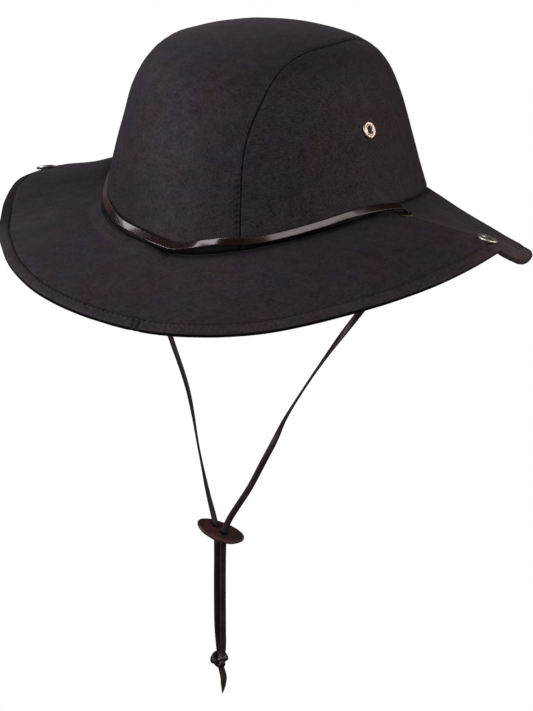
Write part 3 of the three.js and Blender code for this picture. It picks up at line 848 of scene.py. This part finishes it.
def add_side_panel(side, seed):
    """A side of the crown, dished round its vent."""
    front_turn, back_turn = np.arccos(seam_across(side, np.array([-1.0, 1.0]))) * (-1, 1)
    shares = graded(0.42, 5 * MM, 0.45 * MM, 1.9 * MM)
    stations = even_stations(lambda s: seam_across(side, s), shares)
    edge = seam_across(side, stations)[:, None]
    station = stations[:, None]
    columns = graded(0.12, 5 * MM, 0.45 * MM, 1.7 * MM)[None, :]
    turn = mix(front_turn, back_turn, (station + 1) / 2)
    across = mix(edge, np.cos(turn), columns)
    along_disc = mix(panel_along(station, edge), np.sin(turn), columns)
    points = crown_points(across, along_disc)
    to_seam = distances(points, 1)
    to_base = distances(points, 1, from_end=True)
    along = distances(points, 0)
    mirror = 1 if side == "left" else -1
    mirrored = np.array([mirror, 1, 1])
    grids = (points * mirrored, to_seam, to_base, along)
    points, to_seam, to_base, along = (grid[:, ::mirror] for grid in grids)
    relief = crown_relief(points, to_seam, to_base, along, seed)
    from_vent = points - crown_normal(*VENT_PLACE)[0] * mirrored
    near_vent = np.exp(-((np.linalg.norm(from_vent, axis=-1) / VENT_DIMPLE) ** 4))
    relief -= math.tan(VENT_TILT) * from_vent[..., 2] * near_vent
    uv = np.stack([along, to_base * mirror], axis=-1)
    shade = crown_shade(to_seam, to_base, turns_round(points))
    finish_panel(f"crown_{side}", points, relief, uv, shade, f"crown_side_{side}")


# Stitches

STITCH_SIDES = 6
STITCH_LOOK = 0.4 * MM
STITCH_RINGS = (
    (-0.5, 0.35, -0.75), (-0.32, 0.85, -0.1), (0, 1, 0.15), (0.32, 0.85, -0.1), (0.5, 0.35, -0.75),
)


def add_stitches(name, lines, length, radius):
    """Rows of thread stitches, each a small rod whose ends dip into the cloth."""
    places, directions, normals = (np.concatenate(group) for group in zip(*lines))
    directions = unit(directions)
    beside = unit(np.cross(normals, directions))
    turns = even_angles(STITCH_SIDES)
    rings = []
    for along, size, height in STITCH_RINGS:
        middle = places + directions * along * length + normals * height * radius
        rings.append(
            middle[:, None]
            + beside[:, None] * (np.cos(turns) * size * radius)[None, :, None]
            + normals[:, None] * (np.sin(turns) * size * radius)[None, :, None]
        )
    sections = np.stack(rings, axis=1)
    one = tube_faces(len(STITCH_RINGS), STITCH_SIDES)
    step = len(STITCH_RINGS) * STITCH_SIDES
    faces = [[corner + step * i for corner in face] for i in range(len(places)) for face in one]
    add_object(name, sections, faces, THREAD_FINISH)


def read_along(values, along, wanted):
    return np.stack([np.interp(wanted, along, column) for column in values.T], axis=-1)


def stitch_line(line, normals, pitch, margin=0):
    """Places, directions and normals of stitches along a line of points, clear of its ends."""
    along = distances(line)
    wanted = np.arange(margin + pitch / 2, along[-1] - margin, pitch)
    places = read_along(line, along, wanted)
    ahead = read_along(line, along, wanted + STITCH_LOOK)
    behind = read_along(line, along, wanted - STITCH_LOOK)
    return places, ahead - behind, unit(read_along(normals, along, wanted))


def grid_line(values, columns):
    """The values of a grid at one fractional column of each row."""
    rows = np.arange(len(values))
    low = np.floor(columns).astype(int)
    beside = np.minimum(low + 1, values.shape[1] - 1)
    return mix(values[rows, low], values[rows, beside], (columns - low)[:, None])


def add_crown_stitching(outer, normals, to_seam):
    """Rows of stitches beside both seams, on the middle panel."""
    middle = to_seam.shape[1] // 2
    lines = []
    for distance in STITCH_ROWS:
        for order in (1, -1):
            seam = to_seam[:, ::order][:, :middle]
            columns = np.array([np.interp(distance, row, np.arange(middle)) for row in seam])
            line, ups = (grid_line(grid[:, ::order], columns) for grid in (outer, normals))
            lines.append(stitch_line(line, ups, STITCH_PITCH, STITCH_MARGIN))
    add_stitches("crown_stitching", lines, 2.1 * MM, 0.18 * MM)


top_panel = add_centre_panel()
add_side_panel("left", 21)
add_side_panel("right", 31)
add_crown_stitching(*top_panel)


# Brim

def base_line(turns):
    """The line where crown and brim meet, and its level outward direction."""
    angles = np.radians(turns)
    cosine, sine = np.cos(angles), np.sin(angles)
    line = [HEAD_HALF_WIDTH * cosine, HEAD_HALF_LENGTH * sine, -BASE_SAG * sine**2]
    outward = [cosine / HEAD_HALF_WIDTH, sine / HEAD_HALF_LENGTH, np.zeros_like(cosine)]
    return np.stack(line, axis=-1), unit(np.stack(outward, axis=-1))


def turns_from(turns, ridges):
    """How many degrees away the nearest of some ridges is."""
    return np.min([np.abs(turns - ridge) for ridge in ridges], axis=0)


def drop_share(fall, turns, shares):
    """How much of the drop is reached at a share of the way out."""
    plain, folded = (
        mix(np.maximum(shares, 0) ** power, shares, start) for start, power in (fall, RIDGE_FALL)
    )
    return mix(plain, folded, bump_at(turns_from(turns, RIDGE_TURNS), 0, RIDGE_BREADTH))


def right_ridge_lift(turns, shares):
    """The wearer's right ridge rises towards the crown."""
    near = bump_at(turns_from(turns, RIGHT_LIFT_TURNS), 0, RIGHT_LIFT_BREADTH)
    outward = ease(ramp(shares, 0, RIGHT_LIFT_START)) * np.maximum(1 - shares, 0) ** 2
    return RIGHT_RIDGE_LIFT * near * outward


def brim_points(edge, fall, turns, shares):
    base, outward = base_line(turns)
    reach = read_column(edge, "reach", turns) * MM
    drop = read_column(edge, "drop", turns) * MM
    points = base + outward * (reach * shares)[..., None]
    points[..., 2] -= BRIM_GAP + np.where(shares > 0, drop * drop_share(fall, turns, shares), 0)
    points[..., 2] += right_ridge_lift(turns, shares)
    return points


# The tip of the wearer's left ridge
# How much lighter the ear tip is painted: worn cloth and a painted sheen
EAR_WEAR_AND_SHEEN = 0.7
EAR_SWELL = 2.8 * MM
EAR_SAG = -0.2 * MM
EAR_TURN = 16
EAR_BREADTH = 9

FILLET_RISE = 5.2 * MM
FILLET_OUT = 6 * MM
FILLET_BREADTH = 3.4 * MM
PRESSED_TURNS = (-60, -100)
FAR_SHADE = 0.46


def left_ear(turns):
    """Where the wearer's left ridge swells at the rim, from 0 to 1."""
    return bump_at(turns, EAR_TURN, EAR_BREADTH)


def front_right(turns):
    """Where the brim curves up to the crown in front of the wearer's right, from 0 to 1."""
    return ramp(turns, -86, -96) * ramp(turns, -146, -132)


def pressed(turns, most=1):
    """How far the hem's groove and fold are pressed in, and how strong their painted shade is."""
    return mix(0.3, most, ramp(turns, *PRESSED_TURNS))


def rubbed(points, seed):
    """An uneven factor of about 1, for the ear tip's worn cloth and painted sheen."""
    return 0.85 + 0.25 * soft_noise(points, 7 * MM, seed)


def brim_relief(points, turns, to_ridge, to_hem, out, seed):
    """How far the cloth stands off the smooth brim: waves, puckers, the ridge and the fillet."""
    long_waves = 0.4 * MM * soft_noise(points, 55 * MM, seed)
    short_waves = 0.1 * MM * soft_noise(points, 18 * MM, seed + 1)
    relief = (long_waves + short_waves) * ramp(to_ridge, 0, 10 * MM)
    phase = 2 * math.pi * distances(points) / (9 * MM) + 2.5 * soft_noise(points, 40 * MM, seed + 2)
    pucker = 0.12 * MM * np.sin(phase) * np.exp(-to_hem / (9 * MM)) * ramp(to_ridge, 0, 8 * MM)
    bead = 0.45 * MM * bump_at(to_ridge, 0, 1.1 * MM)
    dent = 0.15 * MM * bump_at(to_ridge, 2.2 * MM, 0.8 * MM)
    groove = 0.5 * MM * pressed(turns) * bump_at(to_hem, 0, 1.1 * MM)
    fillet = FILLET_RISE * front_right(turns) * bump_at(out, FILLET_OUT, FILLET_BREADTH)
    relief += pucker + (bead - dent) * (points[..., 0] > 0) - groove + fillet
    return np.where(out > 3 * MM, relief, np.minimum(relief, 0))


def brim_marks(points, turns, to_ridge, to_hem, out, seed):
    """The brim cloth's painted highlights and sheen, its worn ear tip, and its painted shade."""
    # Painted highlight: a pale line along the near ridge's crease.
    ridge = 0.45 * (points[..., 0] > 0) * bump_at(to_ridge, 0, 0.9 * MM)
    # Worn cloth and a painted sheen at the ear tip.
    tip = EAR_WEAR_AND_SHEEN * bump_at(turns, 8, 13) * rubbed(points, seed + 3)
    wear = np.maximum(ridge * ramp(out, 12 * MM, 18 * MM), tip * ramp(out, 48 * MM, 60 * MM))
    # Painted shade: the lace's shadow at the foot, the far brim and beside the ear, beside the lace
    # and in the hem's groove.
    lit = front_right(turns)
    foot_width = mix(1 * MM, 3.2 * MM, under_lace(turns) * (1 - 0.6 * lit))
    foot = mix(*FOOT_SHADES, lit) * bump_at(np.maximum(out - RING_INSET, 0), 0, foot_width)
    behind = FAR_SHADE * bump_at(np.abs(turns), 178, 30)
    far_side = np.where(np.abs(turns) > 100, behind, 0.16 * bump_at(turns, 12, 14))
    beside_lace = 0.3 * lit * bump_at(out, FILLET_OUT, 6 * MM)
    groove = 0.65 * pressed(turns) * bump_at(to_hem, 0, 0.9 * MM)
    groove = groove * (1 - bump_at(turns, 6, 14))
    return {"wear": wear, "shade": np.max([foot, far_side, beside_lace, groove], axis=0)}


def add_brim_half(half, edge, fall, seed):
    """A half of the brim from the head opening to its hem."""
    low, high = sorted((edge["turn"][0], edge["turn"][-1]))
    turns = mix(low, high, graded(0.5, 5 * MM, 0.4 * MM, 1.05 * MM))[:, None]
    reach = read_column(edge, "reach", turns) * MM
    columns = graded(0.07, 5.6 * MM, 0.4 * MM, 1.5 * MM)[None, :]
    shares = mix(-RING_INSET / reach, 1 - HEM_WIDTH / reach, columns)
    turns = np.broadcast_to(turns, shares.shape)
    points = brim_points(edge, fall, turns, shares)
    normals = upright_at_ridges(grid_normals(points), turns)
    along, out = distances(points, 0), distances(points, 1)
    to_ridge = np.minimum(along, distances(points, 0, from_end=True))
    to_hem = distances(points, 1, from_end=True)
    places = (points, turns, to_ridge, to_hem, out, seed)
    outer = points + normals * brim_relief(*places)[..., None]
    uv = np.stack([along, out], axis=-1)
    inner = points - normals * BRIM_CLOTH
    add_cloth(f"brim_cloth_{half}", outer, inner, uv, brim_marks(*places), f"brim_{half}")


def upright_at_ridges(normals, turns):
    """Turns the normals upright at the ridges, where the halves of the brim meet."""
    turned = normals.copy()
    turned[..., 1] *= ease(ramp(turns_from(turns, RIDGE_TURNS), 0, 4))
    return unit(turned)


HEM_ROWS = 640
HEM_CORNERS = 32
HEM_SPREAD = 0.9 * MM
HEM_SAG = 1.1 * MM
HEM_STITCH_PITCH = 3 * MM
CREASE_TURNS = (-81.85, -80.75)


def hem_marks(turns, middle, sections, creases, seed):
    """The hem's painted highlight, its worn ear tip and its painted shade, round each section."""
    angles = even_angles(HEM_CORNERS)
    angles = np.where(angles > 1.2 * math.pi, angles - 2 * math.pi, angles)
    # Painted shade: the underside, the inner fold, the creases and the far hem.
    underside = ramp(angles, 0.55, 0.25)
    inner_fold = pressed(turns, 0.85)[:, None] * bump_at(angles, math.pi, 0.5)
    folds = 0.93 * np.maximum(underside, inner_fold)
    far_hem_shade = 0.8 * ramp(np.abs(turns + 5), 128, 137)[:, None]
    # Painted highlight on the roll's crest; worn cloth and a painted sheen at the ear tip.
    patches = 0.5 + 0.5 * soft_noise(middle, 25 * MM, seed + 1)[:, None]
    crest = 0.06 * patches * bump_at(angles, 1.3, 0.5) * (1 - far_hem_shade)
    wear = crest + EAR_WEAR_AND_SHEEN * bump_at(turns, 7, 12)[:, None] * rubbed(sections, seed + 2)
    shade = np.maximum(np.maximum(folds, 0.6 * creases[:, None]), far_hem_shade)
    return {"wear": wear, "shade": shade}


def add_hem(half, edge, fall, seed):
    """The folded rim of the brim, a flat roll of cloth. Returns its stitches."""
    low, high = sorted((edge["turn"][0], edge["turn"][-1]))
    turns = np.linspace(low, high, HEM_ROWS)
    reach = read_column(edge, "reach", turns) * MM
    edge_points = brim_points(edge, fall, turns, np.ones(HEM_ROWS))
    inside = brim_points(edge, fall, turns, 1 - HEM_WIDTH / reach)
    outward = unit(edge_points - inside)
    tangent = unit(np.gradient(edge_points, axis=0))
    normal = upright_at_ridges(unit(np.cross(outward, tangent)), turns)
    outward = unit(outward - normal * np.sum(outward * normal, axis=-1, keepdims=True))
    sag = BRIM_CLOTH - HEM_THICKNESS / 2 + HEM_SAG + EAR_SAG * left_ear(turns)
    middle = (edge_points + inside) / 2 + outward * HEM_SPREAD / 2 - normal * sag[:, None]
    creases = sum(bump_at(turns, crease, 0.35) for crease in CREASE_TURNS)
    thickness = HEM_THICKNESS * (1.2 + 0.05 * soft_noise(middle, 12 * MM, seed))
    thickness += EAR_SWELL * left_ear(turns) - 1.2 * MM * creases
    width = np.linalg.norm(edge_points - inside, axis=-1) + HEM_SPREAD
    sections = strip_sections(middle, outward, normal, width, thickness, HEM_CORNERS, 3.4)
    piece = tube(f"hem_{half}", sections, HEM_FINISH, 16 * MM)
    set_marks(piece, **hem_marks(turns, middle, sections, creases, seed))
    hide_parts(f"brim_hem_{half}")
    line = inside + normal * (0.9 * MM - HEM_SAG) + outward * 0.5 * MM
    return stitch_line(line, normal, HEM_STITCH_PITCH)


add_brim_half("front", FRONT_EDGE, FRONT_FALL, 41)
add_brim_half("back", BACK_EDGE, BACK_FALL, 51)
hem_lines = [
    add_hem("front", FRONT_EDGE, FRONT_FALL, 61), add_hem("back", BACK_EDGE, BACK_FALL, 71)
]
add_stitches("hem_stitching", hem_lines, 2.2 * MM, 0.24 * MM)


# Lace round the crown

# How much lighter brown the lace is painted, for reflected light
BAND_SHEEN = 0.75


def add_band():
    """The flat lace, painted lighter brown for reflected light where it rounds the wearer's right.
    """
    base, outward = base_line(BAND_ROUTE["turn"])
    points = base + outward * BAND_ROUTE["out"][:, None] * MM
    points[:, 2] += BAND_ROUTE["up"] * MM
    columns = [points / MM, outward, BAND_ROUTE["lean"][:, None]]
    curve = smooth_route(np.concatenate(columns, axis=-1), 420)
    route = curve[:, :3] * MM
    tangent = unit(np.gradient(route, axis=0))
    lean = np.radians(curve[:, 6])[:, None]
    above = unit(np.cross(tangent, curve[:, 3:6]))
    facing = np.cross(above, tangent) * np.cos(lean) + above * np.sin(lean)
    across = np.cross(tangent, facing)
    sections = strip_sections(route, across, facing, BAND_WIDTH, LACE_THICKNESS, 24, 6)
    band = tube("crown_lace", sections, LACE_FINISH, 2 * BAND_WIDTH)
    # Painted reflected light on the lace along the wearer's right.
    set_marks(band, wear=BAND_SHEEN * ramp(turns_round(sections), -119, -127))
    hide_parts("hat_lace")


add_band()


# Metal

VENT_PROFILE = (
    (1.2, -2.6), (2.75, -2.6), (2.9, -0.2), (4.5, -0.1), (4.85, 0.2), (4.8, 0.6), (4.5, 0.95),
    (4.1, 1.15), (3.7, 1.15), (3.4, 1), (3.2, 1.05), (2.9, 1.3), (2.5, 1.35), (2.2, 1.1),
    (2, 0.5), (1.5, -1.4),
)
GROMMET_PROFILE = (
    (2.1, -3), (2.55, -3), (2.65, -0.2), (3.5, -0.1), (3.65, 0.2), (3.4, 0.65), (3, 0.85),
    (2.5, 0.7), (2.1, 0.2),
)
SNAP_PROFILE = (
    (0, -5.9), (3.2, -5.9), (3.4, -5.6), (3.4, -5.2), (1.6, -5), (1.6, 0), (5.2, 0), (5.5, 0.3),
    (5.4, 0.8), (4.9, 1.2), (4.2, 1.35), (3.5, 1.2), (3, 0.75),
    (2.6, 0.3), (1.8, 0.2), (1, 0.4), (0, 0.5),
)


def add_vents():
    point, normal = crown_normal(*VENT_PLACE)
    for name, side in (("left", 1), ("right", -1)):
        mirror = np.array([side, 1, 1])
        tilted = normal + np.array([0, 0, math.tan(VENT_TILT)])
        place = frame_on(point * mirror, tilted * mirror)
        vent = lathe(f"vent_{name}", VENT_PROFILE, place, EYELET_FINISH)
        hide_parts(f"crown_vent_{name}")


def ridge_frame(turn, reach, tilt=0):
    """A frame on the brim's ridge, upright or tilted towards the back by so many degrees."""
    edge_reach = float(read_column(FRONT_EDGE, "reach", [turn])[0]) * MM
    shares = reach / edge_reach + np.array([-0.01, 0, 0.01])
    points = brim_points(FRONT_EDGE, FRONT_FALL, np.full(3, float(turn)), shares)
    outward = points[2] - points[0]
    angle = math.radians(tilt)
    along = np.array([0, math.cos(angle), -math.sin(angle)]) * math.copysign(1, outward[0])
    return frame_on(points[1], np.cross(outward, along))


def add_side_metal():
    for (name, tilt), turn in zip(SNAP_TILTS.items(), RIDGE_TURNS):
        hole = ridge_frame(turn, GROMMET_REACH)
        grommet = lathe(f"lace_eyelet_{name}", GROMMET_PROFILE, hole, BRASS_FINISH)
        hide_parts(f"lace_grommet_{name}")
        stud = ridge_frame(turn, SNAP_REACH, tilt)
        snap = lathe(f"snap_{name}", SNAP_PROFILE, stud, NICKEL_FINISH)
        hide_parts(f"brim_snap_{name}")


add_vents()
add_side_metal()


# Floor, light and surroundings

FLOOR_DEPTH = -0.62
FLOOR_HALF = 6


def add_floor():
    mesh = bpy.data.meshes.new("floor")
    corners = [(x * FLOOR_HALF, y * FLOOR_HALF, 0) for x, y in ((-1, -1), (1, -1), (1, 1), (-1, 1))]
    mesh.from_pydata(corners, [], [(0, 1, 2, 3)])
    material, tree = start_material("white paper")
    emission = add_node(tree, "Emission", {"Color": color(1, 1, 1), "Strength": 1.0})
    tree.links.new(emission.outputs[0], tree.nodes["Material Output"].inputs["Surface"])
    mesh.materials.append(material)
    floor = place_object("floor", mesh)
    floor.location.z = FLOOR_DEPTH
    floor.visible_diffuse = False
    floor.visible_glossy = False
    floor.visible_shadow = False


def set_world(level):
    """White to the camera, and a dim even light to the hat."""
    world = bpy.data.worlds.new("studio")
    world.use_nodes = True
    tree = world.node_tree
    background = tree.nodes["Background"]
    seen = add_node(tree, "LightPath").outputs["Is Camera Ray"]
    tree.links.new(
        blend_colors(tree, seen, color(level, level, level), color(1, 1, 1)),
        background.inputs["Color"],
    )
    bpy.context.scene.world = world


def add_softbox(name, azimuth, elevation, distance, width, height, power, tint=(1, 1, 1)):
    """A rectangular lamp that faces the hat, turned from the front to the wearer's left."""
    direction = direction_of(math.radians(azimuth), math.radians(elevation))
    data = bpy.data.lights.new(name, "AREA")
    data.shape = "RECTANGLE"
    data.size = width
    data.size_y = height
    data.energy = power
    data.color = tint
    lamp = place_object(name, data)
    lamp.location = direction * distance
    lamp.rotation_euler = direction.to_track_quat("Z", "Y").to_euler()


add_floor()
set_world(0.03)
add_softbox("key", -80, 38, 2.4, 0.8, 0.9, 10)
add_softbox("front", 4, 35, 2, 1, 0.3, 6.2, (0.98, 0.96, 1))
add_softbox("right", 78, 23, 2.4, 2.2, 0.8, 15.5, (1, 0.95, 0.9))
add_softbox("right_back", 130, 15, 2.4, 1, 1.2, 12, (1, 0.84, 0.8))
add_softbox("backdrop", -147, 12, 2.4, 3, 1, 0.7)
add_softbox("left", -108, 40, 2.4, 1, 1, 1.2)
add_softbox("top_front", 24, 60, 2.2, 1.4, 1, 1.6, (1, 1, 0.8))
add_softbox("low_left", -30, 5, 2.4, 1, 1, 31, (1, 0.93, 1))
bpy.context.scene.view_settings.view_transform = "Standard"
